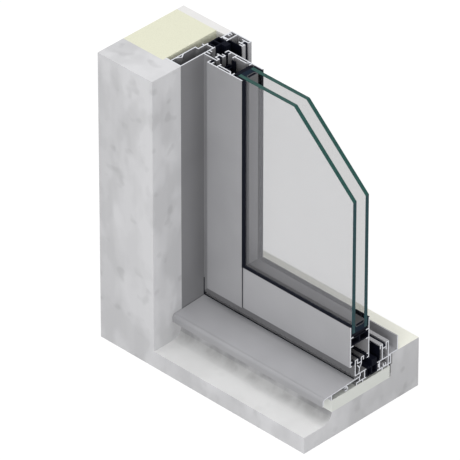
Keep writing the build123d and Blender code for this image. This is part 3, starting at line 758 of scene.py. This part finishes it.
class CORNER_OT_inserts(bpy.types.Operator):
    """Model the rib beside the stile's bar and the dark filling of the spacers"""

    bl_idname = "corner.inserts"
    bl_label = "Inserts"

    def execute(self, context):
        finish, sizes = context.scene.corner_finish, context.scene.corner_sizes
        plastic = black_plastic("insert_plastic", finish.plastic, INSERT_ROUGHNESS)
        low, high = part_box("sash_stile_break")
        back = high.y - sizes.rib_setback
        rib_low = Vector((high.x - sizes.rib_wall, back - sizes.rib_wall, low.z))
        rib_high = Vector((high.x + sizes.rib_width, back, CUT_Z - sizes.rib_wall))
        make_bar("stile_rib", rib_low, rib_high, plastic, "break_plastic")
        inset, recess = sizes.filling_inset, sizes.filling_recess
        ends = {
            "spacer_side": Vector((inset, inset, recess)),
            "spacer_bottom": Vector((recess, inset, inset)),
        }
        for node, end in ends.items():
            low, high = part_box(node)
            start = low + Vector((inset, inset, inset))
            make_bar(node.replace("spacer", "filling"), start, high - end, plastic, "spacer_metal")
        return {"FINISHED"}


class CORNER_OT_glazing(bpy.types.Operator):
    """Model the two panes with their ground edges"""

    bl_idname = "corner.glazing"
    bl_label = "Glazing"

    def execute(self, context):
        finish, sizes = context.scene.corner_finish, context.scene.corner_sizes
        edge = glass_edge(finish)
        weather = clear_glass("weather_pane_glass", finish.outer_pane, OUTER_COVER)
        room = clear_glass("room_pane_glass", finish.inner_pane, INNER_COVER)
        make_pane("glass_pane_outer", weather, edge, sizes.arris)
        make_pane("glass_pane_inner", room, edge, sizes.arris)
        return {"FINISHED"}


def lamp(name, direction, target, brightness):
    """A square soft light along a direction, set by how bright it makes a white face that looks at it."""
    location = target + direction.normalized() * LAMP_DISTANCE
    bpy.ops.object.light_add(type="AREA", location=location)
    made = bpy.context.object
    made.name = name
    made.data.size = LAMP_SIZE
    made.data.energy = brightness * (math.pi * LAMP_DISTANCE) ** 2
    made.rotation_euler = (target - location).to_track_quat("-Z", "Y").to_euler()


def seen_rays(tree):
    """1 for light paths that look at the background directly, in gloss or through glass; returns a socket."""
    path = add(tree, "ShaderNodeLightPath")
    glossy = math_node(tree, "MAXIMUM", path.outputs["Is Camera Ray"], path.outputs["Is Glossy Ray"])
    return math_node(tree, "MAXIMUM", glossy, path.outputs["Is Transmission Ray"])


def floor_material(settings):
    """White floor that keeps a soft shadow where it is seen and is plain pale for other light."""
    made = bpy.data.materials.new("stage_floor")
    made.use_nodes = True
    tree = made.node_tree
    tree.nodes.clear()
    out = add(tree, "ShaderNodeOutputMaterial")
    pale = add(tree, "ShaderNodeBsdfDiffuse", Color=FLOOR_TONE)
    white = add(tree, "ShaderNodeEmission", Color=WHITE, Strength=settings.floor_white)
    shadowed = add(tree, "ShaderNodeBsdfDiffuse", Color=FLOOR_SHADOW)
    seen = add(tree, "ShaderNodeAddShader")
    mix = add(tree, "ShaderNodeMixShader")
    tree.links.new(white.outputs[0], seen.inputs[0])
    tree.links.new(shadowed.outputs[0], seen.inputs[1])
    tree.links.new(seen_rays(tree), mix.inputs[0])
    tree.links.new(pale.outputs[0], mix.inputs[1])
    tree.links.new(seen.outputs[0], mix.inputs[2])
    tree.links.new(mix.outputs[0], out.inputs["Surface"])
    return made


def world_light(settings):
    """Even light from all round, seen as white."""
    world = bpy.data.worlds.new("even_sky")
    bpy.context.scene.world = world
    world.use_nodes = True
    tree = world.node_tree
    background = tree.nodes["Background"]
    background.inputs["Color"].default_value = WHITE
    strength = spread(tree, seen_rays(tree), 0.0, 1.0, settings.sky, 1.0)
    tree.links.new(strength, background.inputs["Strength"])


class CORNER_OT_stage(bpy.types.Operator):
    """Set the floor, the lights and the camera"""

    bl_idname = "corner.stage"
    bl_label = "Stage"

    def execute(self, context):
        settings = context.scene.corner_stage
        clear_selection()
        bpy.ops.mesh.primitive_plane_add(size=FLOOR_SIZE, location=(0, 0, 0))
        floor = context.object
        floor.name = "stage_floor"
        floor.data.materials.append(floor_material(settings))
        world_light(settings)
        middle = (CAD_LOW + CAD_HIGH) / 2
        lamp("key_light", KEY_DIRECTION, middle, settings.key)
        lamp("fill_light", FILL_DIRECTION, middle, settings.fill)
        back = Euler((0, 0, settings.azimuth)).to_matrix() @ Vector((0, -1, 0))
        back = back * math.cos(settings.elevation) + Vector((0, 0, math.sin(settings.elevation)))
        bpy.ops.object.camera_add(location=Vector(settings.target) + back * settings.distance)
        camera = context.object
        camera.name = "picture_camera"
        camera.data.lens = settings.lens
        camera.data.sensor_width = SENSOR_WIDTH
        camera.data.clip_end = CLIP_REACH * settings.distance
        camera.rotation_euler = (-back).to_track_quat("-Z", "Y").to_euler()
        context.scene.camera = camera
        context.scene.view_settings.view_transform = "Standard"
        return {"FINISHED"}


GROUPS = {"corner_finish": CornerFinish, "corner_sizes": CornerSizes, "corner_stage": StageSettings}
STEPS = (
    CORNER_OT_stage,
    CORNER_OT_masonry,
    CORNER_OT_metalwork,
    CORNER_OT_plastics,
    CORNER_OT_joints,
    CORNER_OT_inserts,
    CORNER_OT_glazing,
)


class CORNER_PT_panel(bpy.types.Panel):
    """Lists the settings and the steps of the corner"""

    bl_label = "Window Corner"
    bl_idname = "CORNER_PT_panel"
    bl_space_type = "VIEW_3D"
    bl_region_type = "UI"
    bl_category = "Window Corner"

    def draw(self, context):
        for name in GROUPS:
            group = getattr(context.scene, name)
            box = self.layout.box()
            for setting in group.__annotations__:
                box.prop(group, setting)
        for step in STEPS:
            self.layout.operator(step.bl_idname)


def register():
    """Registers the settings, the steps and the panel."""
    for name, group in GROUPS.items():
        bpy.utils.register_class(group)
        setattr(bpy.types.Scene, name, PointerProperty(type=group))
    for step in STEPS:
        bpy.utils.register_class(step)
    bpy.utils.register_class(CORNER_PT_panel)


def unregister():
    """Removes what register added."""
    bpy.utils.unregister_class(CORNER_PT_panel)
    for step in reversed(STEPS):
        bpy.utils.unregister_class(step)
    for name, group in GROUPS.items():
        delattr(bpy.types.Scene, name)
        bpy.utils.unregister_class(group)


def main():
    """Registers the add-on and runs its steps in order."""
    register()
    for step in STEPS:
        space, name = step.bl_idname.split(".")
        getattr(getattr(bpy.ops, space), name)()


if __name__ == "__main__":
    main()
